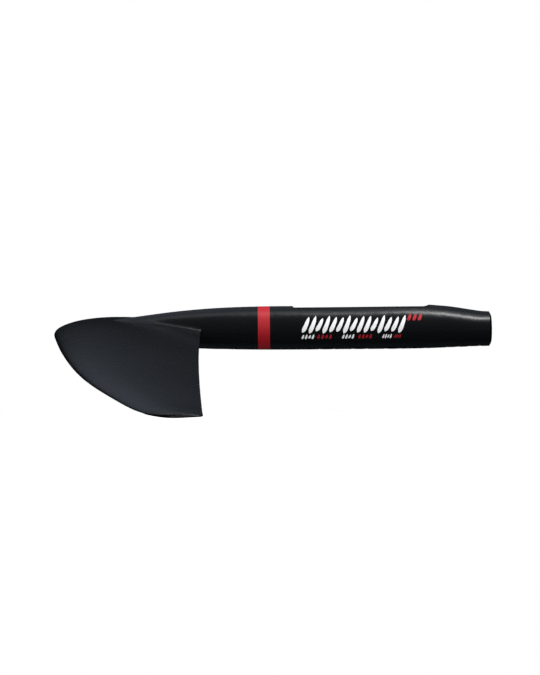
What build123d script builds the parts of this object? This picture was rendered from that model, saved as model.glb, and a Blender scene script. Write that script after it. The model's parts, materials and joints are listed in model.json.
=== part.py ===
"""A hydrofoil's front wing, moulded in one piece with the front fuselage.

Millimetres. X runs aft, Y to starboard and Z up, from the middle of the flat seat where the
mast stands. Two carbon skins meet on a parting surface that follows the wing's chord. Inside
them lie foam cores, a spar, a solid block that takes the mast and a metal socket for the tail.
"""

import os
from math import asin, cos, degrees, pi, sqrt

from build123d import *

os.makedirs("parts", exist_ok=True)

# ---------------------------------------------------------------- wing, seen from above
half_span = 370.0
nose_x = -249.7  # leading edge on the centre line
root_chord = 120.0
edge_sweep = 44.0  # how far the leading edge runs aft in a straight line by the tip
edge_soft = 27.0  # rounds the two straight runs into one nose
tip_rake = 52.6  # how far it curves aft on top of that
tip_rake_power = 3.54
tail_rake = 8.8  # the same for the trailing edge
tail_rake_power = 2.14
tip_round = 16.0  # corner of the tip, leading edge
tip_round_aft = 4.0  # corner of the tip, trailing edge
tip_roll = 4.0  # how far in from the end the tip thins to its rim
tip_rim = 0.3  # share of the thickness left at the end

# ---------------------------------------------------------------- wing, seen from the front
wing_z = -18.6
flat_centre = 20.0  # half width of the level part
droop = 31.2  # drop of the tips
droop_power = 1.57

# ---------------------------------------------------------------- wing section
root_thickness = 0.133
tip_thickness = 0.095
camber = 0.0175
camber_at = 0.4
trailing_thickness = 0.8
section_points = 17

# ---------------------------------------------------------------- fuselage: x, top, bottom, half width
fuselage_stations = [
    (-216.0, -12.5, -22.0, 3.0),
    (-206.0, -9.3, -24.0, 5.6),
    (-182.5, -5.8, -27.6, 9.9),
    (-160.0, -2.95, -30.4, 12.6),
    (-131.0, -0.2, -32.5, 15.0),
    (-98.0, 1.35, -33.6, 16.4),
    (-60.0, 1.7, -34.1, 16.9),
    (0.0, 1.7, -34.2, 17.0),
    (60.0, 1.6, -33.9, 16.9),
    (82.0, -0.9, -33.2, 15.8),
    (94.0, -2.95, -32.8, 14.8),
    (106.2, -4.2, -32.6, 14.2),
]
hollow_from = 2  # first station the hollow reaches
tail_overrun = (112.0, -4.7, -32.5, 13.9)  # carries the hollow out past the open end
root_radius = 5.0  # fillet between fuselage and wing

# ---------------------------------------------------------------- laminate and cores
fuselage_wall = 2.6
skin_root = 1.2
skin_tip = 0.8
core_edge = 0.25  # half the thickness left where a core ends
web_room = 1.3  # the spar web's least half thickness, in core edges
core_setback = 20.0  # how far short of the tip the cores stop
nose_line = 0.10  # shares of the chord where one core meets the next
spar_front = 0.24
spar_back = 0.42
tail_line = 0.72
cap_root = 2.0  # spar caps
cap_tip = 0.35

# ---------------------------------------------------------------- mast joint
seat_front_x = -54.5
seat_back_x = 61.0
seat_front_step = 1.5  # radius where the seat runs up to the crown
seat_back_step = 9.0
block_length = 112.0
tenon_length = 78.0
tenon_width = 10.0
tenon_depth = 20.0
liner_wall = 1.5
liner_floor = 2.0
mast_screw_pitch = 27.0
mast_screw_count = 3
mast_screw_hole = 6.6
mast_screw_head = 12.6

# ---------------------------------------------------------------- tail joint
tail_end_x = fuselage_stations[-1][0]
tail_axis_z = (fuselage_stations[-1][1] + fuselage_stations[-1][2]) / 2
tail_radius = (fuselage_stations[-1][1] - fuselage_stations[-1][2]) / 2
tail_bore = 17.0
tail_bore_depth = 44.0
tail_screw_first = 76.0
tail_screw_pitch = 18.0
tail_screw_count = 2
tail_screw_hole = 5.5
tail_screw_head = 10.4
tail_sleeve_top = 0.6  # the sleeves stop this far below the bore
end_crown = 1.8  # how far the end ring swells past the shell
end_gap = 0.25  # shadow line round the ring

# ---------------------------------------------------------------- sleeves for the countersunk screws
sleeve_wall = 1.2  # metal left round a head
sleeve_recess = 0.55  # how far the sleeves' ends stop above the fuselage's lowest line
head_land = 0.2  # straight rim below each head's cone

# ---------------------------------------------------------------- marking
band_x = -78.3
band_width = 9.8
band_depth = 0.4

floor_z = -60.0  # below everything; cutting shapes start here
cutter_height = 90.0


# ================================================================ shapes shared by the pieces
def share(y):
    return abs(y) / half_span


def corner(y, radius):
    into = abs(y) - (half_span - radius)
    return radius - sqrt(radius**2 - into**2) if into > 0 else 0.0


def leading_x(y):
    straight = (sqrt(y * y + edge_soft**2) - edge_soft) / half_span
    return nose_x + edge_sweep * straight + tip_rake * share(y) ** tip_rake_power


def trailing_x(y):
    return nose_x + root_chord + tail_rake * share(y) ** tail_rake_power


def chord_z(y):
    out = max(abs(y) - flat_centre, 0.0) / (half_span - flat_centre)
    return wing_z - droop * out**droop_power


def thinning(y):
    """Share of the thickness left as the tip rolls over to its rim."""
    into = (abs(y) - (half_span - tip_roll)) / tip_roll
    return tip_rim + (1 - tip_rim) * sqrt(1 - into**2) if into > 0 else 1.0


def half_thickness(u, y):
    """Half the wing's thickness at a share u of the chord."""
    ratio = (root_thickness + (tip_thickness - root_thickness) * share(y)) * thinning(y)
    form = 0.2969 * sqrt(u) - 0.1260 * u - 0.3516 * u**2 + 0.2843 * u**3 - 0.1015 * u**4
    chord = trailing_x(y) - leading_x(y)
    return 5 * ratio * form * chord + trailing_thickness * u / 2 * thinning(y)


def camber_line(u):
    if u < camber_at:
        return camber / camber_at**2 * (2 * camber_at * u - u * u)
    return camber / (1 - camber_at) ** 2 * ((1 - 2 * camber_at) + 2 * camber_at * u - u * u)


def find_share(depth, y, thick, thin):
    """Where the half thickness comes down to a depth, between a thick and a thin share."""
    for _ in range(40):
        middle = (thick + thin) / 2
        if half_thickness(middle, y) > depth:
            thick = middle
        else:
            thin = middle
    return thick


def skin(y):
    return skin_root + (skin_tip - skin_root) * share(y)


def spar_depth(y):
    """Depth of the spar web below the surface: skin and cap, thinned where a slim tip has no room."""
    wanted = skin(y) + cap_root + (cap_tip - cap_root) * share(y)
    return min(wanted, half_thickness(camber_at, y) - web_room * core_edge)


def section(y, depth):
    """Upper and lower outlines of the wing at y, as (x, z), a depth inside the surface."""
    front_x = leading_x(y) + corner(y, tip_round)
    chord = trailing_x(y) - corner(y, tip_round_aft) - front_x
    first, last = 0.0, 1.0
    if depth > 0:
        first = find_share(depth + core_edge, y, camber_at, 0.0)
        last = find_share(depth + core_edge, y, camber_at, 1.0)
    upper, lower = [], []
    for k in range(section_points):
        u = first + (last - first) * (1 - cos(pi * k / (section_points - 1))) / 2
        middle = chord_z(y) + camber_line(u) * chord
        thick = half_thickness(u, y) - depth
        upper.append((front_x + u * chord, middle + thick))
        lower.append((front_x + u * chord, middle - thick))
    return upper, lower


def mirrored(values):
    return [-v for v in reversed(values) if v] + values


wing_stations = [0.0, flat_centre] + [half_span * k / 74 for k in (12, 25, 40, 53, 63)]
outer_stations = mirrored(wing_stations + [half_span - tip_round])
tip_stations = [half_span - tip_round * part for part in (1.0, 0.7, 0.45, 0.28, 0.15, 0.05, 0.0)]
core_stations = mirrored(wing_stations + [half_span - core_setback])


def wing_body(stations, depth):
    """The wing drawn in by a depth that depends on y; None gives its full outline."""
    with BuildPart() as body:
        for y in stations:
            upper, lower = section(y, depth(y) if depth else 0.0)
            with BuildSketch(Plane.XZ.offset(-y)):
                with BuildLine():
                    Spline(*upper)
                    Spline(*lower)
                    Line(upper[-1], lower[-1])
                    if depth:
                        Line(upper[0], lower[0])
                make_face()
        loft()
    return body.part


def fuselage_half(stations, inset, top_side):
    """One side of the fuselage, above or below the wing's level, drawn in by an inset."""
    with BuildPart() as body:
        for x, top, bottom, half_width in stations:
            middle = (top + bottom) / 2
            tall = (top - bottom) / 2 - inset
            angle = degrees(asin((wing_z - middle) / tall))
            with BuildSketch(Plane.YZ.offset(x)):
                with BuildLine():
                    if top_side:
                        arc = EllipticalCenterArc(
                            (0, middle), half_width - inset, tall, angle, arc_size=180 - 2 * angle
                        )
                    else:
                        arc = EllipticalCenterArc(
                            (0, middle), half_width - inset, tall, 180 - angle, arc_size=180 + 2 * angle
                        )
                    Line(arc @ 1, arc @ 0)
                make_face()
        loft()
    return body.part


def fuselage_body(stations, inset):
    with BuildPart() as body:
        add(fuselage_half(stations, inset, True))
        add(fuselage_half(stations, inset, False))
    return body.part


def seamless_fuselage(stations, inset):
    """The fuselage drawn in by an inset, in one piece, with no joint at the wing's level."""
    with BuildPart() as body:
        for x, top, bottom, half_width in stations:
            with BuildSketch(Plane.YZ.offset(x)):
                with Locations((0, (top + bottom) / 2)):
                    Ellipse(half_width - inset, (top - bottom) / 2 - inset)
        loft()
    return body.part


def chord_points(u):
    return [(leading_x(y) + u * (trailing_x(y) - leading_x(y)), y) for y in core_stations]


def between(front, back):
    """Everything between two shares of the chord, tip to tip."""
    ahead, behind = chord_points(front), chord_points(back)
    with BuildPart() as body:
        with BuildSketch(Plane.XY.offset(floor_z)):
            with BuildLine():
                Spline(*ahead)
                Spline(*behind)
                Line(ahead[0], behind[0])
                Line(ahead[-1], behind[-1])
            make_face()
        extrude(amount=cutter_height)
    return body.part


def slab(front_x, back_x):
    """Everything between two places along the fuselage."""
    with BuildPart() as body:
        with BuildSketch(Plane.XY.offset(floor_z)):
            with Locations(((front_x + back_x) / 2, 0)):
                Rectangle(back_x - front_x, 4 * flat_centre)
        extrude(amount=cutter_height)
    return body.part


outer_wing = wing_body(outer_stations, None)
starboard_tip = wing_body(tip_stations, None)
inner_wing = wing_body(core_stations, skin)
web_wing = wing_body(core_stations, spar_depth)
inner_stations = fuselage_stations[hollow_from:] + [tail_overrun]
inner_fuselage = fuselage_body(inner_stations, fuselage_wall)
spar_region = between(spar_front, spar_back)

with BuildPart() as above_parting:
    with BuildSketch(Plane.YZ.offset(nose_x - 20)):
        with BuildLine():
            reach = [flat_centre + k * (half_span + 10 - flat_centre) / 8 for k in range(9)]
            Spline(*[(y, chord_z(y)) for y in reach], tangents=[(1, 0), (1, -droop / 200)])
            Spline(*[(-y, chord_z(y)) for y in reach], tangents=[(-1, 0), (-1, -droop / 200)])
            Line((-flat_centre, wing_z), (flat_centre, wing_z))
            Polyline(
                (reach[-1], chord_z(reach[-1])),
                (reach[-1], cutter_height + floor_z),
                (-reach[-1], cutter_height + floor_z),
                (-reach[-1], chord_z(reach[-1])),
            )
        make_face()
    extrude(amount=cutter_height * 5)

with BuildPart() as outline:
    add(outer_wing)
    add(fuselage_half(fuselage_stations, 0.0, True))
    add(fuselage_half(fuselage_stations, 0.0, False))
    root_edges = [
        edge
        for edge in outline.edges()
        if edge.length > root_chord
        and edge.bounding_box().size.Y < 2 * flat_centre
        and edge.bounding_box().max.X < band_x
    ]
    fillet(root_edges, root_radius)
    add(starboard_tip)
    add(mirror(starboard_tip, Plane.XZ, mode=Mode.PRIVATE))
    with BuildSketch(Plane.XZ.offset(-2 * flat_centre)) as seat:
        with Locations(((seat_front_x + seat_back_x) / 2, cutter_height / 2)):
            Rectangle(seat_back_x - seat_front_x, cutter_height)
        fillet(seat.vertices().group_by(Axis.Y)[0].sort_by(Axis.X)[0], seat_front_step)
        fillet(seat.vertices().group_by(Axis.Y)[0].sort_by(Axis.X)[-1], seat_back_step)
    extrude(amount=4 * flat_centre, mode=Mode.SUBTRACT)


def posts(first_x, pitch, count, diameter, top_z):
    """A row of upright cylinders from below everything up to a level."""
    with BuildPart() as body:
        with BuildSketch(Plane.XY.offset(floor_z)):
            with Locations(*[(first_x + k * pitch, 0) for k in range(count)]):
                Circle(diameter / 2)
        extrude(amount=top_z - floor_z)
    return body.part


def countersinks(first_x, pitch, count, head, hole, rim_z):
    """Seats for countersunk heads put in from below, and a straight way in to each."""
    cone = (head - hole) / 2
    with BuildPart() as body:
        add(posts(first_x, pitch, count, head, rim_z))
        with Locations(*[(first_x + k * pitch, 0, rim_z) for k in range(count)]):
            Cone(head / 2, hole / 2, cone, align=(Align.CENTER, Align.CENTER, Align.MIN))
    return body.part


mast_screw_first = -mast_screw_pitch * (mast_screw_count - 1) / 2
mast_row = (mast_screw_first, mast_screw_pitch, mast_screw_count)
tail_row = (tail_screw_first, tail_screw_pitch, tail_screw_count)
liner_bottom_z = -(tenon_depth + liner_floor)
block_end_x = block_length / 2
mast_sleeve = mast_screw_head + 2 * sleeve_wall
tail_sleeve = tail_screw_head + 2 * sleeve_wall
belly_z = min(bottom for _, _, bottom, _ in fuselage_stations)
mast_screw_rim_z = belly_z + sleeve_recess + head_land
tail_screw_rim_z = fuselage_stations[-1][2] + sleeve_recess + head_land
mast_sleeve_space = posts(*mast_row, mast_sleeve, liner_bottom_z)
tail_sleeve_space = posts(*tail_row, tail_sleeve, tail_axis_z - tail_bore / 2 - tail_sleeve_top)
tail_screw_space = posts(*tail_row, tail_screw_hole, tail_axis_z)

with BuildPart() as above_belly:
    with BuildSketch(Plane.XZ.offset(-2 * flat_centre)):
        with BuildLine():
            belly = [(x, bottom + sleeve_recess) for x, _, bottom, _ in fuselage_stations]
            Spline(*belly)
            Polyline(belly[-1], (belly[-1][0], 0), (belly[0][0], 0), belly[0])
        make_face()
    extrude(amount=4 * flat_centre)

with BuildPart() as band_space:
    add(slab(band_x - band_width / 2, band_x + band_width / 2))
    add(seamless_fuselage(fuselage_stations[hollow_from:], band_depth), mode=Mode.SUBTRACT)

with BuildPart() as liner_space:
    with BuildSketch(Plane.XY.offset(liner_bottom_z)):
        SlotOverall(tenon_length + 2 * liner_wall, tenon_width + 2 * liner_wall)
    extrude(amount=cutter_height)

with BuildPart() as tail_bore_space:
    with BuildSketch(Plane.YZ.offset(tail_end_x - tail_bore_depth)):
        with Locations((0, tail_axis_z)):
            Circle(tail_bore / 2)
    extrude(amount=2 * tail_bore_depth)

# ================================================================ pieces
with BuildPart() as marking_band:
    add(outline.part)
    add(band_space.part, mode=Mode.INTERSECT)

with BuildPart() as upper_skin:
    add(outline.part)
    add(above_parting.part, mode=Mode.INTERSECT)
    add(inner_wing, mode=Mode.SUBTRACT)
    add(inner_fuselage, mode=Mode.SUBTRACT)
    add(band_space.part, mode=Mode.SUBTRACT)
    add(liner_space.part, mode=Mode.SUBTRACT)

with BuildPart() as lower_skin:
    add(outline.part)
    add(above_parting.part, mode=Mode.SUBTRACT)
    add(inner_wing, mode=Mode.SUBTRACT)
    add(inner_fuselage, mode=Mode.SUBTRACT)
    add(band_space.part, mode=Mode.SUBTRACT)
    add(mast_sleeve_space, mode=Mode.SUBTRACT)
    add(tail_sleeve_space, mode=Mode.SUBTRACT)

with BuildPart() as spar_web:
    add(web_wing)
    add(spar_region, mode=Mode.INTERSECT)

with BuildPart() as spar_caps:
    add(inner_wing)
    add(spar_region, mode=Mode.INTERSECT)
    add(web_wing, mode=Mode.SUBTRACT)

with BuildPart() as leading_edge_filler:
    add(inner_wing)
    add(between(-nose_line, nose_line), mode=Mode.INTERSECT)

with BuildPart() as root_core:
    add(inner_fuselage)
    add(slab(nose_x, -block_end_x), mode=Mode.INTERSECT)
    add(inner_wing, mode=Mode.SUBTRACT)

with BuildPart() as mast_block:
    add(inner_fuselage)
    add(slab(-block_end_x, block_end_x), mode=Mode.INTERSECT)
    add(liner_space.part, mode=Mode.SUBTRACT)
    add(mast_sleeve_space, mode=Mode.SUBTRACT)

with BuildPart() as mast_pocket_liner:
    with BuildSketch():
        SlotOverall(tenon_length + 2 * liner_wall, tenon_width + 2 * liner_wall)
    extrude(amount=liner_bottom_z)
    with BuildSketch():
        SlotOverall(tenon_length, tenon_width)
    extrude(amount=-tenon_depth, mode=Mode.SUBTRACT)
    add(posts(*mast_row, mast_screw_hole, 0.0), mode=Mode.SUBTRACT)

with BuildPart() as mast_screw_sleeves:
    add(mast_sleeve_space)
    add(above_belly.part, mode=Mode.INTERSECT)
    add(posts(*mast_row, mast_screw_hole, 0.0), mode=Mode.SUBTRACT)
    seats = countersinks(*mast_row, mast_screw_head, mast_screw_hole, mast_screw_rim_z)
    add(seats, mode=Mode.SUBTRACT)

with BuildPart() as tail_socket:
    add(inner_fuselage)
    add(slab(block_end_x, tail_end_x), mode=Mode.INTERSECT)
    add(tail_bore_space.part, mode=Mode.SUBTRACT)
    add(tail_sleeve_space, mode=Mode.SUBTRACT)
    add(tail_screw_space, mode=Mode.SUBTRACT)

with BuildPart() as tail_screw_sleeves:
    add(tail_sleeve_space)
    add(above_belly.part, mode=Mode.INTERSECT)
    add(tail_screw_space, mode=Mode.SUBTRACT)
    seats = countersinks(*tail_row, tail_screw_head, tail_screw_hole, tail_screw_rim_z)
    add(seats, mode=Mode.SUBTRACT)

with BuildPart() as tail_end_ring:
    with BuildSketch(Plane.XZ):
        with BuildLine():
            rim = tail_axis_z + tail_radius - end_gap
            lip = tail_axis_z + tail_bore / 2
            Polyline((tail_end_x + end_crown, lip), (tail_end_x, lip), (tail_end_x, rim))
            ThreePointArc(
                (tail_end_x, rim),
                (tail_end_x + 0.75 * end_crown, lip + 0.6 * (rim - lip)),
                (tail_end_x + end_crown, lip),
            )
        make_face()
    revolve(axis=Axis((0, 0, tail_axis_z), (1, 0, 0)))

lower_cap, upper_cap = spar_caps.solids().sort_by(Axis.Z)
pieces = {
    "upper_skin": upper_skin.part,
    "lower_skin": lower_skin.part,
    "spar_web": spar_web.part,
    "spar_cap_upper": upper_cap,
    "spar_cap_lower": lower_cap,
    "leading_edge_filler": leading_edge_filler.part,
    "root_core": root_core.part,
    "mast_block": mast_block.part,
    "mast_pocket_liner": mast_pocket_liner.part,
    "mast_screw_sleeves": mast_screw_sleeves.part,
    "tail_socket": tail_socket.part,
    "tail_screw_sleeves": tail_screw_sleeves.part,
    "tail_end_ring": tail_end_ring.part,
    "marking_band": marking_band.part,
}

sides = {"port": Keep.TOP, "starboard": Keep.BOTTOM}
core_limits = {
    "nose_core": (nose_line, spar_front),
    "aft_core": (spar_back, tail_line),
    "trailing_edge_strip": (tail_line, 1 + nose_line),
}
for core, (front, back) in core_limits.items():
    for side, keep in sides.items():
        with BuildPart() as half_core:
            add(inner_wing)
            add(between(front, back), mode=Mode.INTERSECT)
            split(bisect_by=Plane.XZ, keep=keep)
        pieces[f"{core}_{side}"] = half_core.part

for name, piece in pieces.items():
    piece.label = name
    export_step(piece, f"parts/{name}.step")
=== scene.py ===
"""Finish, printed marks and studio for a moulded carbon hydrofoil front wing.

Metres. X runs aft, Y to starboard and Z up, from the middle of the mast seat.
"""

import json
from math import cos, pi, radians, sin

import bpy
from bpy.props import FloatProperty, FloatVectorProperty, IntProperty, PointerProperty
from mathutils import Matrix, Vector


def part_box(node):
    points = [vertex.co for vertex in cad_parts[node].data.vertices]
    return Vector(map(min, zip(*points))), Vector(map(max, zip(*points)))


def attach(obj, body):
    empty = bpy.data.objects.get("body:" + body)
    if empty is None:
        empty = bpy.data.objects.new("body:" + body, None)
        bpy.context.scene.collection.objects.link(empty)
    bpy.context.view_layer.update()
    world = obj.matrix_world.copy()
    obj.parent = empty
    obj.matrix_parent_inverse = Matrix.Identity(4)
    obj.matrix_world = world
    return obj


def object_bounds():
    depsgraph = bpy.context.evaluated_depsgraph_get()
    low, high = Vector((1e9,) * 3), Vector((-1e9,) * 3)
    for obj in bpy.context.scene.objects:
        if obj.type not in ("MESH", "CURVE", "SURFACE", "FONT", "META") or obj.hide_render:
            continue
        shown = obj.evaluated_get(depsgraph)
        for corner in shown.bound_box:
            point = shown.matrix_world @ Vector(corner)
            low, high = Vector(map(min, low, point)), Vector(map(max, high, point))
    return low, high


bl_info = {
    "name": "Hydrofoil Front Wing Finish",
    "version": (1, 0, 0),
    "blender": (4, 5, 0),
    "location": "3D View > Sidebar > Foil",
    "description": "Lacquered carbon, paint, turned metal and printed marks for a hydrofoil front wing",
    "category": "Object",
}

MM = 0.001

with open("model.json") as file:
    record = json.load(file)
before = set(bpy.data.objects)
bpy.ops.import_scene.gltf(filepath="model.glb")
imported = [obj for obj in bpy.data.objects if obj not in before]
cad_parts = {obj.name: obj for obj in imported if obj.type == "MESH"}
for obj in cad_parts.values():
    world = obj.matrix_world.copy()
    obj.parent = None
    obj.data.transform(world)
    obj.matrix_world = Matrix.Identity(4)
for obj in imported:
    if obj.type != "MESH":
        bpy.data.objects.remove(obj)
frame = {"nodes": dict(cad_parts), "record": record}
nodes = frame["nodes"]
cad_box = [list(corner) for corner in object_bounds()]

tip_y = cad_box[1][1]
tail_low, tail_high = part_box("tail_end_ring")
tail_axis_z = (tail_low.z + tail_high.z) / 2
band_low, band_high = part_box("marking_band")
mast_low, mast_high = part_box("mast_screw_sleeves")
tail_screw_low, tail_screw_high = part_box("tail_screw_sleeves")


# ---------------------------------------------------------------- sizes and colours to change
def colour(name, description, default):
    return FloatVectorProperty(
        name=name, description=description, default=default, size=3, min=0, max=1, subtype="COLOR"
    )


def length(name, description, default):
    return FloatProperty(
        name=name, description=description, default=default, unit="LENGTH", subtype="DISTANCE", precision=5
    )


def fraction(name, description, default):
    return FloatProperty(name=name, description=description, default=default, min=0, max=1, subtype="FACTOR")


class FoilCarbonSettings(bpy.types.PropertyGroup):
    tow_width: length("Tow width", "Width of one tow in the twill cloth", 2.15 * MM)
    # The two tow colours are one black fibre painted as a lit and a shaded copy: the lighter tows along are a
    # painted sheen, the darker tows across are painted shade
    along: colour("Tows along", "Tows that run along the chord", (0.0075, 0.0085, 0.0105))
    across: colour("Tows across", "Tows that run along the span", (0.0035, 0.0038, 0.0045))
    fibre_roughness: fraction("Fibre roughness", "Roughness of the cloth under the lacquer", 0.24)
    lacquer: fraction("Lacquer", "How much gloss lacquer lies over the cloth", 0.3)
    lacquer_roughness: fraction("Lacquer roughness", "Roughness of the rubbed lacquer", 0.16)
    relief: length("Relief", "How far the weave shows through as a relief", 0.02 * MM)


class FoilPaintSettings(bpy.types.PropertyGroup):
    black: colour("Black", "Satin black sprayed over the fuselage", (0.0075, 0.0085, 0.01))
    black_roughness: fraction("Black roughness", "Roughness of the satin black", 0.26)
    apex_x: length("Apex", "Where the painted V would come to its point", -236.5 * MM)
    flare: FloatProperty(name="Flare", description="Half width of the V for each unit aft", default=0.42)
    feather: length("Feather", "Width of the sprayed edge", 5 * MM)
    red: colour("Red", "Lacquer of the band", (0.56, 0.008, 0.02))
    red_roughness: fraction("Red roughness", "Roughness of the red lacquer", 0.4)


class FoilMetalSettings(bpy.types.PropertyGroup):
    steel: colour("Steel", "Turned stainless sleeves", (0.58, 0.58, 0.60))
    aluminium: colour("Aluminium", "Machined tail socket", (0.66, 0.67, 0.69))
    anodised: colour("Anodised", "Dark anodised end ring", (0.035, 0.037, 0.043))
    tool_pitch: length("Tool pitch", "Spacing of the lathe's lines", 0.22 * MM)


class FoilCoreSettings(bpy.types.PropertyGroup):
    foam: colour("Foam", "Closed-cell foam of the cores", (0.60, 0.53, 0.37))
    laminate: colour("Laminate", "Solid carbon laminate", (0.022, 0.023, 0.026))
    cell: length("Cell", "Size of a foam cell", 0.7 * MM)
    ply: length("Ply", "Thickness of one ply of the laminate", 0.3 * MM)


class FoilMarkSettings(bpy.types.PropertyGroup):
    white: colour("White ink", "Ink of the large strokes", (0.92, 0.93, 0.94))
    # Painted glow: the white ink is given an emission, light it does not really give off, so that it reads
    # brighter
    painted_glow: fraction("Painted glow", "Share of light that the white ink gives back by itself", 0.2)
    red: colour("Red ink", "Ink of the small strokes", (0.56, 0.008, 0.02))
    film: length("Ink film", "Thickness of the printed film", 0.04 * MM)
    lift: length("Lift", "Gap that keeps the film clear of the skin", 0.07 * MM)
    lean: FloatProperty(
        name="Lean", description="How far the strokes lean aft", default=radians(24), subtype="ANGLE"
    )
    rows: IntProperty(name="Rows", description="Steps along one stroke", default=14, min=4)


class FoilStudioSettings(bpy.types.PropertyGroup):
    distance: length("Camera distance", "From the camera to the point it looks at", 2.5)
    lens: FloatProperty(name="Lens", description="Focal length in millimetres", default=162.6)
    elevation: FloatProperty(
        name="Elevation", description="Camera above the horizon", default=radians(4.5), subtype="ANGLE"
    )
    roll: FloatProperty(name="Roll", description="Turn of the camera", default=radians(0.55), subtype="ANGLE")
    aim_x: length("Aim along", "Point looked at, along the fuselage", -73.4 * MM)
    aim_z: length("Aim height", "Point looked at, above the seat", -24 * MM)
    floor_drop: length("Floor drop", "How far the floor lies below the tips", 450 * MM)
    top_power: FloatProperty(name="Top light", description="Overhead softbox", default=1.8, unit="POWER")
    aft_power: FloatProperty(name="Aft light", description="Softbox over the tail", default=6.9, unit="POWER")
    aft_spin: FloatProperty(
        name="Aft light's turn",
        description="Turn of the softbox over the tail, about its own axis",
        default=radians(-66),
        subtype="ANGLE",
    )


# ---------------------------------------------------------------- node helpers
class Tree:
    """Short ways to add and join shader nodes in one tree."""

    def __init__(self, tree):
        self.tree = tree
        self.made = 0

    def add(self, kind, **settings):
        node = self.tree.nodes.new(kind)
        node.location = (220 * (self.made % 8) - 900, -260 * (self.made // 8))
        self.made += 1
        for key, value in settings.items():
            setattr(node, key, value)
        return node

    def join(self, source, socket):
        if hasattr(source, "is_output"):
            self.tree.links.new(source, socket)
        else:
            socket.default_value = source

    def sum(self, operation, *values, clamp=False):
        node = self.add("ShaderNodeMath", operation=operation, use_clamp=clamp)
        for value, socket in zip(values, node.inputs):
            self.join(value, socket)
        return node.outputs[0]

    def blend(self, share, first, second):
        """Colour between two colours."""
        node = self.add("ShaderNodeMix", data_type="RGBA")
        self.join(share, node.inputs["Factor"])
        self.join(first, node.inputs[6])
        self.join(second, node.inputs[7])
        return node.outputs[2]

    def between(self, share, first, second):
        """Number between two numbers."""
        node = self.add("ShaderNodeMix", data_type="FLOAT")
        self.join(share, node.inputs["Factor"])
        self.join(first, node.inputs[2])
        self.join(second, node.inputs[3])
        return node.outputs[0]

    def choose(self, share, first, second):
        """Shader between two shaders."""
        node = self.add("ShaderNodeMixShader")
        for source, socket in zip((share, first, second), node.inputs):
            self.join(source, socket)
        return node.outputs[0]

    def split(self, vector):
        node = self.add("ShaderNodeSeparateXYZ")
        self.join(vector, node.inputs[0])
        return node.outputs

    def stretch(self, vector, scale):
        node = self.add("ShaderNodeMapping")
        self.join(vector, node.inputs["Vector"])
        node.inputs["Scale"].default_value = scale
        return node.outputs[0]

    def noise(self, vector, scale, detail=2.0):
        node = self.add("ShaderNodeTexNoise")
        self.join(vector, node.inputs["Vector"])
        node.inputs["Scale"].default_value = scale
        node.inputs["Detail"].default_value = detail
        return node.outputs["Fac"]

    def step(self, value, low, high, first=0.0, second=1.0):
        node = self.add("ShaderNodeMapRange", interpolation_type="SMOOTHSTEP")
        for source, socket in zip((value, low, high, first, second), node.inputs):
            self.join(source, socket)
        return node.outputs[0]

    def place(self, tree, **values):
        node = self.add("ShaderNodeGroup", node_tree=tree)
        for key, value in values.items():
            self.join(value, node.inputs[key.replace("_", " ")])
        return node.outputs


def new_group(name, inputs, outputs):
    """An empty node group; sockets are given as name: kind."""
    tree = bpy.data.node_groups.new(name, "ShaderNodeTree")
    kinds = {"vector": "NodeSocketVector", "number": "NodeSocketFloat", "colour": "NodeSocketColor"}
    for label, kind in inputs.items():
        tree.interface.new_socket(label, in_out="INPUT", socket_type=kinds[kind])
    for label, kind in outputs.items():
        tree.interface.new_socket(label, in_out="OUTPUT", socket_type=kinds[kind])
    inside = Tree(tree)
    return inside, inside.add("NodeGroupInput").outputs, inside.add("NodeGroupOutput").inputs


def twill_group():
    """2/2 twill cloth: two tows over, two under, one step on for each row."""
    t, given, made = new_group(
        "Twill Cloth",
        {"Vector": "vector", "Tow": "number"},
        {"Along": "number", "Height": "number", "Streak": "number"},
    )
    x, y, _ = t.split(given["Vector"])
    column = t.sum("DIVIDE", x, given["Tow"])
    row = t.sum("DIVIDE", y, given["Tow"])
    turn = t.sum("ADD", t.sum("FLOOR", column), t.sum("FLOOR", row))
    along = t.sum("LESS_THAN", t.sum("FLOORED_MODULO", turn, 4.0), 1.5)

    def crown(place):
        off = t.sum("MULTIPLY_ADD", t.sum("FRACT", place), 2.0, -1.0)
        return t.sum("SUBTRACT", 1.0, t.sum("POWER", t.sum("ABSOLUTE", off), 2.5))

    t.join(along, made["Along"])
    t.join(t.between(along, crown(column), crown(row)), made["Height"])
    fibres_along = t.noise(t.stretch(given["Vector"], (60, 4000, 60)), 1.0)
    fibres_across = t.noise(t.stretch(given["Vector"], (4000, 60, 60)), 1.0)
    t.join(t.between(along, fibres_across, fibres_along), made["Streak"])
    return t.tree


def handling_group():
    """Fine rub marks and faint smears that handling leaves in a satin surface."""
    t, given, made = new_group("Handling", {"Vector": "vector"}, {"Rubs": "number", "Smear": "number"})
    rubs = t.noise(t.stretch(given["Vector"], (90, 700, 700)), 1.0, 3.0)
    t.join(t.step(rubs, 0.6, 0.78), made["Rubs"])
    t.join(t.noise(given["Vector"], 26.0, 3.0), made["Smear"])
    return t.tree


def turned_group():
    """Rings left by a turning tool, from two distances off the axis."""
    t, given, made = new_group(
        "Turned Face",
        {"First": "number", "Second": "number", "Pitch": "number"},
        {"Height": "number", "Shade": "number"},
    )
    first = t.sum("POWER", t.sum("ABSOLUTE", given["First"]), 2.0)
    second = t.sum("POWER", t.sum("ABSOLUTE", given["Second"]), 2.0)
    radius = t.sum("SQRT", t.sum("ADD", first, second))
    rings = t.sum("SINE", t.sum("MULTIPLY", t.sum("DIVIDE", radius, given["Pitch"]), 2 * pi))
    t.join(t.sum("MULTIPLY_ADD", rings, 0.5, 0.5), made["Height"])
    band = t.add("ShaderNodeTexNoise", noise_dimensions="1D")
    t.join(t.sum("MULTIPLY", radius, 900.0), band.inputs["W"])
    t.join(band.outputs["Fac"], made["Shade"])
    return t.tree


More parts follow.
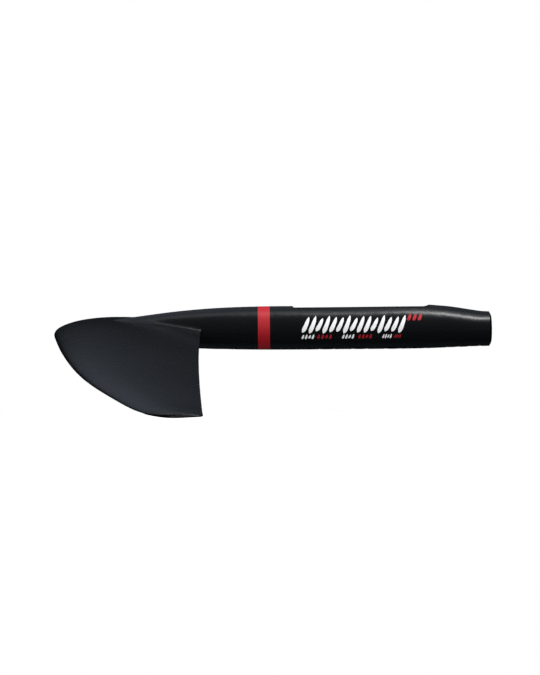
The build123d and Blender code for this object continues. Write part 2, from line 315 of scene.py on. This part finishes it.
def wear_group():
    """Edge wear: breaks up the strip within a reach of an edge, from a distance to that edge."""
    t, given, made = new_group(
        "Edge Wear", {"Vector": "vector", "Distance": "number", "Reach": "number"}, {"Worn": "number"}
    )
    near = t.sum("SUBTRACT", 1.0, t.sum("DIVIDE", given["Distance"], given["Reach"]), clamp=True)
    broken = t.noise(given["Vector"], 900.0, 4.0)
    t.join(t.step(t.sum("MULTIPLY", near, broken), 0.3, 0.5), made["Worn"])
    return t.tree


def shared(name, maker):
    return bpy.data.node_groups.get(name) or maker()


def new_material(name):
    """A material with a Principled shader; returns it with its tree, shader and Object coordinates."""
    material = bpy.data.materials.new(name)
    material.use_nodes = True
    t = Tree(material.node_tree)
    shader = material.node_tree.nodes["Principled BSDF"]
    place = t.add("ShaderNodeTexCoord").outputs["Object"]
    return material, t, shader.inputs, place


def relief(t, height, distance, sockets, strength=1.0):
    bump = t.add("ShaderNodeBump")
    bump.inputs["Strength"].default_value = strength
    bump.inputs["Distance"].default_value = distance
    t.join(height, bump.inputs["Height"])
    t.join(bump.outputs[0], sockets["Normal"])


def rgb(value):
    return (*value, 1.0)


def scaled(value, by):
    return tuple(channel * by for channel in value)


def dress(names, material):
    """Gives each named CAD node its one material."""
    for name in names:
        slots = nodes[name].data.materials
        slots.clear()
        slots.append(material)


# ---------------------------------------------------------------- materials
def skin_material():
    """Lacquered twill, with satin black sprayed in a V over the fuselage and the wing's root."""
    carbon = bpy.context.scene.foil_carbon
    paint = bpy.context.scene.foil_paint
    material, t, shader, place = new_material("Carbon skin")
    x, y, z = t.split(place)

    cloth = t.place(shared("Twill Cloth", twill_group), Vector=place, Tow=carbon.tow_width)
    handling = t.place(shared("Handling", handling_group), Vector=place)
    # Painted sheen and shade: the tows along take the lighter colour and the tows across the darker one, as
    # if the fibres caught the light in one direction only
    tow = t.blend(cloth["Along"], rgb(carbon.across), rgb(carbon.along))
    tow = t.blend(t.sum("MULTIPLY", cloth["Streak"], 0.45), tow, rgb(scaled(carbon.across, 0.5)))
    # Painted shade: the tows are coloured darker where they dip into the valleys of the weave
    valley_shade = t.step(cloth["Height"], 0.0, 0.35, 0.55, 0.0)
    tow = t.blend(valley_shade, tow, rgb(scaled(carbon.across, 0.3)))

    half_width = t.sum("MULTIPLY", t.sum("SUBTRACT", x, paint.apex_x), paint.flare)
    wander = t.sum("MULTIPLY_ADD", t.noise(place, 60.0), 2 * MM, -MM)
    inside = t.sum("ADD", t.sum("SUBTRACT", half_width, t.sum("ABSOLUTE", y)), wander)
    painted = t.step(inside, -0.5 * paint.feather, 0.5 * paint.feather)

    out = t.sum("SUBTRACT", tip_y, t.sum("ABSOLUTE", y))
    wear = t.place(shared("Edge Wear", wear_group), Vector=place, Distance=out, Reach=1.2 * MM)
    smear = t.sum("MULTIPLY_ADD", handling["Smear"], 0.16, -0.08)
    black = t.blend(t.sum("MULTIPLY", handling["Rubs"], 0.12), rgb(paint.black), rgb(carbon.along))
    colour_made = t.blend(painted, tow, black)
    colour_made = t.blend(t.sum("MULTIPLY", wear["Worn"], 0.2), colour_made, (0.16, 0.16, 0.17, 1))
    t.join(colour_made, shader["Base Color"])
    satin = t.sum("ADD", paint.black_roughness, smear)
    fibre = t.sum("ADD", carbon.fibre_roughness, t.sum("MULTIPLY", cloth["Along"], 0.06))
    t.join(t.between(painted, fibre, satin), shader["Roughness"])
    coat = t.sum("MULTIPLY", t.sum("SUBTRACT", 1.0, painted), carbon.lacquer)
    t.join(coat, shader["Coat Weight"])
    shader["Coat Roughness"].default_value = carbon.lacquer_roughness
    shader["Specular IOR Level"].default_value = 0.5

    peel = t.sum("MULTIPLY", t.noise(place, 520.0, 1.0), 0.35)
    scratches = t.sum("MULTIPLY", handling["Rubs"], -0.08)
    surface = t.between(painted, cloth["Height"], t.sum("ADD", peel, scratches))
    relief(t, surface, carbon.relief, shader, 0.5)
    return material


def red_lacquer(name, red, roughness):
    """Red lacquer or ink with fine orange peel and faint handling marks."""
    material, t, shader, place = new_material(name)
    handling = t.place(shared("Handling", handling_group), Vector=place)
    thin = t.sum("MULTIPLY", t.noise(place, 45.0, 4.0), 0.3)
    t.join(t.blend(thin, rgb(red), rgb(scaled(red, 0.72))), shader["Base Color"])
    t.join(t.sum("MULTIPLY_ADD", handling["Smear"], 0.14, roughness - 0.07), shader["Roughness"])
    peel = t.sum("ADD", t.noise(place, 520.0, 1.0), t.sum("MULTIPLY", handling["Rubs"], -0.3))
    relief(t, peel, 0.006 * MM, shader, 0.5)
    return material


def white_ink():
    """White ink laid with a dry brush: the film thins into fine streaks."""
    marks = bpy.context.scene.foil_marks
    material, t, shader, place = new_material("White ink")
    streaks = t.noise(t.stretch(place, (900, 900, 120)), 1.0, 3.0)
    thin = t.sum("MULTIPLY", t.step(streaks, 0.56, 0.74), 0.35)
    t.join(t.blend(thin, rgb(marks.white), rgb(scaled(marks.white, 0.45))), shader["Base Color"])
    t.join(t.between(thin, 0.5, 0.7), shader["Roughness"])
    # Painted glow: the emission makes the ink shine by itself, though it is no lamp
    shader["Emission Color"].default_value = rgb(marks.white)
    shader["Emission Strength"].default_value = marks.painted_glow
    relief(t, streaks, 0.008 * MM, shader, 0.5)
    return material


def turned_metal(name, base, roughness, first, second, wear_from=None):
    """Metal with turned rings; first and second make distances off the axis from the tree."""
    metal = bpy.context.scene.foil_metal
    material, t, shader, place = new_material(name)
    axes = t.split(place)
    rings = t.place(
        shared("Turned Face", turned_group),
        First=first(t, axes),
        Second=second(t, axes),
        Pitch=metal.tool_pitch,
    )
    made = t.blend(t.sum("MULTIPLY", rings["Shade"], 0.5), rgb(base), rgb(scaled(base, 0.7)))
    if wear_from:
        wear = t.place(
            shared("Edge Wear", wear_group), Vector=place, Distance=wear_from(t, axes), Reach=0.5 * MM
        )
        made = t.blend(t.sum("MULTIPLY", wear["Worn"], 0.5), made, (0.35, 0.35, 0.36, 1))
    t.join(made, shader["Base Color"])
    t.join(t.sum("MULTIPLY_ADD", rings["Shade"], 0.18, roughness - 0.09), shader["Roughness"])
    shader["Metallic"].default_value = 1.0
    relief(t, rings["Height"], 0.004 * MM, shader, 0.6)
    return material


def sleeve_steel(name, low, high, pitch):
    """Turned steel with rings about each sleeve of a row along X."""
    radius = (high.y - low.y) / 2
    first_x = low.x + radius

    def off_x(t, axes):
        return t.sum("WRAP", t.sum("SUBTRACT", axes[0], first_x), -pitch / 2, pitch / 2)

    steel = bpy.context.scene.foil_metal.steel
    return turned_metal(name, steel, 0.3, off_x, lambda t, axes: axes[1])


def end_ring_metal():
    anodised = bpy.context.scene.foil_metal.anodised

    def off_z(t, axes):
        return t.sum("SUBTRACT", axes[2], tail_axis_z)

    def from_lip(t, axes):
        return t.sum("SUBTRACT", tail_high.x, axes[0])

    return turned_metal("Dark anodised", anodised, 0.34, lambda t, axes: axes[1], off_z, from_lip)


def socket_aluminium():
    """Machined aluminium with the long lines of a boring bar."""
    metal = bpy.context.scene.foil_metal
    material, t, shader, place = new_material("Machined aluminium")
    lines = t.noise(t.stretch(place, (4000, 90, 90)), 1.0, 2.0)
    cloud = t.noise(place, 70.0, 3.0)
    dulled = t.blend(t.sum("MULTIPLY", cloud, 0.4), rgb(metal.aluminium), rgb(scaled(metal.aluminium, 0.75)))
    t.join(dulled, shader["Base Color"])
    t.join(t.sum("MULTIPLY_ADD", lines, 0.2, 0.24), shader["Roughness"])
    shader["Metallic"].default_value = 1.0
    relief(t, lines, 0.006 * MM, shader, 0.6)
    return material


def core_foam():
    """Closed-cell foam: small open cells at the cut face."""
    core = bpy.context.scene.foil_core
    material, t, shader, place = new_material("Core foam")
    cells = t.add("ShaderNodeTexVoronoi")
    t.join(place, cells.inputs["Vector"])
    cells.inputs["Scale"].default_value = 1 / core.cell
    open_cell = t.step(cells.outputs["Distance"], 0.15, 0.5)
    patch = t.sum("MULTIPLY", t.noise(place, 35.0, 3.0), 0.5)
    walls = t.blend(patch, rgb(core.foam), rgb(scaled(core.foam, 0.82)))
    # Painted shade: the hollows of the open cells are coloured darker than their walls
    t.join(t.blend(open_cell, rgb(scaled(core.foam, 0.6)), walls), shader["Base Color"])
    t.join(t.between(open_cell, 0.95, 0.8), shader["Roughness"])
    relief(t, open_cell, 0.2 * MM, shader, 0.7)
    return material


def solid_laminate():
    """Machined solid laminate: the edges of its plies show as thin lines."""
    core = bpy.context.scene.foil_core
    material, t, shader, place = new_material("Solid laminate")
    wave = t.sum("MULTIPLY", t.noise(place, 120.0, 2.0), core.ply)
    height = t.sum("ADD", t.split(place)[2], wave)
    ply = t.sum("PINGPONG", height, core.ply)
    line = t.step(ply, 0.0, 0.3 * core.ply, 1.0, 0.0)
    cutter = t.noise(t.stretch(place, (200, 200, 3000)), 1.0, 2.0)
    t.join(t.blend(line, rgb(core.laminate), rgb(scaled(core.laminate, 2.4))), shader["Base Color"])
    t.join(t.sum("MULTIPLY_ADD", cutter, 0.2, 0.42), shader["Roughness"])
    relief(t, t.sum("ADD", line, cutter), 0.02 * MM, shader, 0.5)
    return material


# ---------------------------------------------------------------- printed marks
STROKE_SHARE = 0.62  # a stroke's width, as a share of its row's pitch
STROKE_END = 0.12  # least width at a stroke's ends, as a share of its width
SMOOTH_BELOW = radians(40)  # edges turning less than this are shaded smooth
MAIN_RUN = (-47 * MM, 37 * MM)  # where the main row begins and ends along the fuselage
ACCENT_RUN = (38 * MM, 51 * MM)
MAIN_LEVELS = (-19.5 * MM, -6 * MM)  # its low and high edges
ACCENT_LEVELS = (-10.2 * MM, -4.2 * MM)
LOWER_LEVELS = (-24.3 * MM, -20.6 * MM)
LOWER_RUNS = (  # each pair of small rows: where the white and the red one begin and end
    ((-48 * MM, -37 * MM), (-35.5 * MM, -22.5 * MM)),
    ((-15 * MM, -4.5 * MM), (-2 * MM, 10 * MM)),
    ((18 * MM, 26 * MM), (27.5 * MM, 33.5 * MM)),
)


def only(obj):
    """Makes one object the only selected and active one."""
    bpy.ops.object.select_all(action="DESELECT")
    obj.select_set(True)
    bpy.context.view_layer.objects.active = obj


def skin_form():
    """A merged copy of both skins, for the marks to be wrapped on."""
    bpy.ops.object.select_all(action="DESELECT")
    copies = []
    for name in ("upper_skin", "lower_skin"):
        form = bpy.data.objects.new(f"form_{name}", nodes[name].data.copy())
        bpy.context.scene.collection.objects.link(form)
        form.select_set(True)
        copies.append(form)
    bpy.context.view_layer.objects.active = copies[0]
    bpy.ops.object.join()
    bpy.ops.object.mode_set(mode="EDIT")
    bpy.ops.mesh.select_all(action="SELECT")
    bpy.ops.mesh.remove_doubles(threshold=0.001 * MM)
    bpy.ops.object.mode_set(mode="OBJECT")
    return copies[0]


def pick(mesh, chosen):
    """Selects the vertices that a test on their place chooses; edit mode has to be off."""
    mesh.polygons.foreach_set("select", [False] * len(mesh.polygons))
    mesh.edges.foreach_set("select", [False] * len(mesh.edges))
    for vertex in mesh.vertices:
        vertex.select = chosen(vertex.co)


def brush_stroke(name, width, height, lean, rows):
    """One stroke in the plane Y = 0, full in the middle and pointed at both ends, leaning aft."""
    bpy.ops.object.select_all(action="DESELECT")
    bpy.ops.mesh.primitive_grid_add(x_subdivisions=2, y_subdivisions=rows, size=1, rotation=(pi / 2, 0, 0))
    stroke = bpy.context.object
    stroke.name = name
    bpy.ops.object.transform_apply(rotation=True)
    for k in range(rows + 1):
        level = k / rows - 0.5
        full = (1 - abs(2 * level) ** 5) * (1.1 - 0.45 * (level + 0.5))
        sway = 0.35 * (0.25 - level**2)
        pick(stroke.data, lambda co: abs(co.z - level) < 0.4 / rows)
        bpy.ops.object.mode_set(mode="EDIT")
        bpy.ops.transform.resize(value=(max(full, STROKE_END), 1, 1), center_override=(0, 0, 0))
        bpy.ops.transform.translate(value=(sway, 0, 0))
        bpy.ops.object.mode_set(mode="OBJECT")
    bpy.ops.object.mode_set(mode="EDIT")
    bpy.ops.mesh.select_all(action="SELECT")
    bpy.ops.transform.resize(value=(width, 1, height), center_override=(0, 0, 0))
    bpy.ops.transform.rotate(value=-lean, orient_axis="Y", center_override=(0, 0, 0))
    bpy.ops.object.mode_set(mode="OBJECT")
    return stroke


def stroke_height(k, count):
    """Height of a row's stroke, as a share of the first; long rows are uneven."""
    return 1 + 0.16 * sin(2.4 * k) if count > 3 else 1.0


def stroke_row(name, form, side, run, levels, count, material):
    """A row of leaning strokes wrapped on one side of the fuselage as a thin film of ink."""
    marks = bpy.context.scene.foil_marks
    first_x, last_x = run
    low_z, high_z = levels
    pitch = (last_x - first_x) / count
    middle_z = (low_z + high_z) / 2
    stand_off = 3 * (band_high.y - band_low.y) / 4
    stroke = brush_stroke(name, STROKE_SHARE * pitch, high_z - low_z, marks.lean, marks.rows)
    only(stroke)
    bpy.ops.object.mode_set(mode="EDIT")
    bpy.ops.mesh.select_all(action="SELECT")
    bpy.ops.transform.translate(value=(first_x + pitch / 2, side * stand_off, middle_z))
    tall = 1.0
    for k in range(1, count):
        last_tall, tall = tall, stroke_height(k, count)
        bpy.ops.mesh.duplicate()
        bpy.ops.transform.translate(value=(pitch, 0, 0))
        bpy.ops.transform.resize(
            value=(1, 1, tall / last_tall),
            center_override=(first_x + (k + 0.5) * pitch, side * stand_off, middle_z),
        )
    bpy.ops.object.mode_set(mode="OBJECT")

    wrap = stroke.modifiers.new("wrap", "SHRINKWRAP")
    wrap.target = form
    wrap.wrap_method = "PROJECT"
    wrap.use_project_y = True
    wrap.use_positive_direction = side < 0
    wrap.use_negative_direction = side > 0
    wrap.offset = marks.lift
    bpy.ops.object.modifier_apply(modifier="wrap")
    only(stroke)
    bpy.ops.object.mode_set(mode="EDIT")
    bpy.ops.mesh.select_all(action="SELECT")
    if side > 0:
        bpy.ops.mesh.flip_normals()
    bpy.ops.object.mode_set(mode="OBJECT")
    film = stroke.modifiers.new("film", "SOLIDIFY")
    film.thickness = marks.film
    film.offset = 1.0
    bpy.ops.object.modifier_apply(modifier="film")
    bpy.ops.object.shade_smooth_by_angle(angle=SMOOTH_BELOW)
    stroke.data.materials.append(material)
    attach(stroke, "root")


# ---------------------------------------------------------------- operators
class FOIL_OT_skins(bpy.types.Operator):
    """Lacquer the carbon skins and spray the fuselage satin black"""

    bl_idname = "foil.skins"
    bl_label = "Finish Skins"

    def execute(self, context):
        dress(("upper_skin", "lower_skin"), skin_material())
        return {"FINISHED"}


class FOIL_OT_band(bpy.types.Operator):
    """Lacquer the red band round the fuselage"""

    bl_idname = "foil.band"
    bl_label = "Finish Band"

    def execute(self, context):
        paint = context.scene.foil_paint
        dress(("marking_band",), red_lacquer("Red lacquer", paint.red, paint.red_roughness))
        return {"FINISHED"}


class FOIL_OT_metal(bpy.types.Operator):
    """Turn the steel sleeves, machine the tail socket and anodise the end ring"""

    bl_idname = "foil.metal"
    bl_label = "Finish Metal"

    def execute(self, context):
        mast_radius = (mast_high.y - mast_low.y) / 2
        mast_pitch = (mast_high.x - mast_low.x - 2 * mast_radius) / 2
        tail_radius = (tail_screw_high.y - tail_screw_low.y) / 2
        tail_pitch = tail_screw_high.x - tail_screw_low.x - 2 * tail_radius
        mast_steel = sleeve_steel("Turned steel, mast", mast_low, mast_high, mast_pitch)
        tail_steel = sleeve_steel("Turned steel, tail", tail_screw_low, tail_screw_high, tail_pitch)
        dress(("mast_screw_sleeves",), mast_steel)
        dress(("tail_screw_sleeves",), tail_steel)
        dress(("tail_socket",), socket_aluminium())
        dress(("tail_end_ring",), end_ring_metal())
        return {"FINISHED"}


class FOIL_OT_cores(bpy.types.Operator):
    """Give the foam cores, spar, filler, block and pocket liner their finishes"""

    bl_idname = "foil.cores"
    bl_label = "Finish Cores"

    def execute(self, context):
        finishes = {"foam": core_foam(), "carbon_laminate": solid_laminate()}
        for part in frame["record"]["subparts"]:
            if part["material_slot"] in finishes:
                dress((part["node"],), finishes[part["material_slot"]])
        return {"FINISHED"}


class FOIL_OT_marks(bpy.types.Operator):
    """Print the rows of brush strokes on both sides of the fuselage"""

    bl_idname = "foil.marks"
    bl_label = "Print Marks"

    def execute(self, context):
        marks = context.scene.foil_marks
        white = white_ink()
        red = red_lacquer("Red ink", marks.red, 0.5)
        form = skin_form()
        for side, hand in ((-1, "port"), (1, "starboard")):
            stroke_row(f"main_strokes_{hand}", form, side, MAIN_RUN, MAIN_LEVELS, 15, white)
            stroke_row(f"accent_strokes_{hand}", form, side, ACCENT_RUN, ACCENT_LEVELS, 3, red)
            for k, (white_run, red_run) in enumerate(LOWER_RUNS, 1):
                stroke_row(f"lower_white_{k}_{hand}", form, side, white_run, LOWER_LEVELS, 4, white)
                stroke_row(f"lower_red_{k}_{hand}", form, side, red_run, LOWER_LEVELS, 4, red)
        bpy.data.objects.remove(form)
        return {"FINISHED"}


PANEL_LEVELS = (  # sine of the height above the horizon, and the light that gloss sees there
    (-1.0, 0.05),
    (-0.5, 0.02),
    (-0.1, 0.004),
    (0.0, 0.002),
    (0.14, 0.006),
    (0.22, 0.018),
    (0.33, 0.055),
    (0.45, 0.12),
    (0.6, 0.17),
    (0.85, 0.22),
)
PANEL_TINT = (0.78, 0.89, 1.08)
WHITE = (1.0, 1.0, 1.0, 1.0)
FLOOR_SIZE = 8.0


class FOIL_OT_studio(bpy.types.Operator):
    """Set up the floor, the soft light and the camera"""

    bl_idname = "foil.studio"
    bl_label = "Set Up Studio"

    def execute(self, context):
        studio = context.scene.foil_studio
        self.light_world(context)
        self.lay_floor(studio)
        aim = Vector((studio.aim_x, 0, studio.aim_z))
        over_tail = Vector((tail_low.x + 14 * MM, 0, 0))
        self.softbox("top_softbox", (-0.06, -0.06, 1.2), aim, (2.2, 0.46), 0, studio.top_power)
        self.softbox(
            "aft_softbox", (0.41, -0.35, 1.1), over_tail, (0.75, 0.2), studio.aft_spin, studio.aft_power
        )
        self.place_camera(context, studio, aim)
        context.scene.view_settings.view_transform = "Standard"
        return {"FINISHED"}

    def light_world(self, context):
        """White for the camera, an even room for diffuse light and a graded panel for gloss."""
        world = bpy.data.worlds.new("Studio")
        context.scene.world = world
        world.use_nodes = True
        world.node_tree.nodes.clear()
        t = Tree(world.node_tree)
        path = t.add("ShaderNodeLightPath").outputs
        sky = t.split(t.add("ShaderNodeTexCoord").outputs["Generated"])
        ramp = t.add("ShaderNodeValToRGB")
        t.join(t.sum("MULTIPLY_ADD", sky[2], 0.5, 0.5), ramp.inputs["Fac"])
        while len(ramp.color_ramp.elements) < len(PANEL_LEVELS):
            ramp.color_ramp.elements.new(0.5)
        for element, (height, level) in zip(ramp.color_ramp.elements, PANEL_LEVELS):
            element.position = (height + 1) / 2
            element.color = rgb(scaled(PANEL_TINT, level))
        far_side = t.step(sky[1], -0.25, 0.2, 0.06, 1.0)
        nose_side = t.step(sky[0], -0.18, 0.1, 1.5, 0.72)

        panel = self.background(t, ramp.outputs[0], t.sum("MULTIPLY", far_side, nose_side))
        room = self.background(t, WHITE, t.step(sky[2], -0.4, 0.4, 0.17, 0.95))
        paper = self.background(t, WHITE, 1.0)
        unseen = t.choose(path["Is Diffuse Ray"], panel, room)
        seen = t.choose(path["Is Camera Ray"], unseen, paper)
        t.join(seen, t.add("ShaderNodeOutputWorld").inputs[0])

    def background(self, t, light, strength):
        node = t.add("ShaderNodeBackground")
        t.join(light, node.inputs[0])
        t.join(strength, node.inputs[1])
        return node.outputs[0]

    def lay_floor(self, studio):
        """Pale paper that shows only to the camera, and only from above."""
        bpy.ops.object.select_all(action="DESELECT")
        height = cad_box[0][2] - studio.floor_drop
        bpy.ops.mesh.primitive_plane_add(size=FLOOR_SIZE, location=(0, 0, height))
        floor = bpy.context.object
        floor.name = "floor"
        material, t, shader, place = new_material("Pale paper")
        grain = t.blend(t.noise(place, 300.0), (0.9, 0.9, 0.9, 1), (0.86, 0.86, 0.86, 1))
        t.join(grain, shader["Base Color"])
        shader["Roughness"].default_value = 0.9
        paper = t.tree.nodes["Principled BSDF"].outputs[0]
        clear = t.add("ShaderNodeBsdfTransparent").outputs[0]
        one_sided = t.choose(t.add("ShaderNodeNewGeometry").outputs["Backfacing"], paper, clear)
        t.join(one_sided, t.tree.nodes["Material Output"].inputs["Surface"])
        floor.data.materials.append(material)
        floor.visible_glossy = False
        floor.visible_diffuse = False
        floor.is_shadow_catcher = True

    def softbox(self, name, place, aim, size, spin, power):
        """A soft light with no shadow of its own, so that the floor stays clean."""
        look = (aim - Vector(place)).to_track_quat("-Z", "Y").to_matrix().to_4x4()
        turn = (look @ Matrix.Rotation(spin, 4, "Z")).to_euler()
        bpy.ops.object.light_add(type="AREA", location=place, rotation=turn)
        light = bpy.context.object
        light.name = name
        light.data.shape = "RECTANGLE"
        light.data.size, light.data.size_y = size
        light.data.energy = power
        light.data.use_shadow = False

    def place_camera(self, context, studio, aim):
        back = Vector((0, -cos(studio.elevation), sin(studio.elevation)))
        place = aim + studio.distance * back
        look = (aim - place).to_track_quat("-Z", "Y").to_matrix().to_4x4()
        turn = (look @ Matrix.Rotation(-studio.roll, 4, "Z")).to_euler()
        bpy.ops.object.camera_add(location=place, rotation=turn)
        camera = context.object
        camera.name = "camera"
        camera.data.lens = studio.lens
        camera.data.clip_end = 50
        context.scene.camera = camera


class FOIL_PT_panel(bpy.types.Panel):
    """Steps that finish the wing, in order"""

    bl_idname = "FOIL_PT_panel"
    bl_label = "Foil"
    bl_space_type = "VIEW_3D"
    bl_region_type = "UI"
    bl_category = "Foil"

    def draw(self, context):
        for step in steps:
            self.layout.operator(step.bl_idname)
        for group_name in settings:
            box = self.layout.box()
            group = getattr(context.scene, group_name)
            for key in group.bl_rna.properties.keys():
                if key not in ("rna_type", "name"):
                    box.prop(group, key)


settings = {
    "foil_carbon": FoilCarbonSettings,
    "foil_paint": FoilPaintSettings,
    "foil_metal": FoilMetalSettings,
    "foil_core": FoilCoreSettings,
    "foil_marks": FoilMarkSettings,
    "foil_studio": FoilStudioSettings,
}
steps = (FOIL_OT_skins, FOIL_OT_band, FOIL_OT_metal, FOIL_OT_cores, FOIL_OT_marks, FOIL_OT_studio)


def register():
    for cls in (*settings.values(), *steps, FOIL_PT_panel):
        bpy.utils.register_class(cls)
    for name, cls in settings.items():
        setattr(bpy.types.Scene, name, PointerProperty(type=cls))


def unregister():
    for name in settings:
        delattr(bpy.types.Scene, name)
    for cls in reversed((*settings.values(), *steps, FOIL_PT_panel)):
        bpy.utils.unregister_class(cls)


def main():
    register()
    bpy.ops.foil.skins()
    bpy.ops.foil.band()
    bpy.ops.foil.metal()
    bpy.ops.foil.cores()
    bpy.ops.foil.marks()
    bpy.ops.foil.studio()


if __name__ == "__main__":
    main()
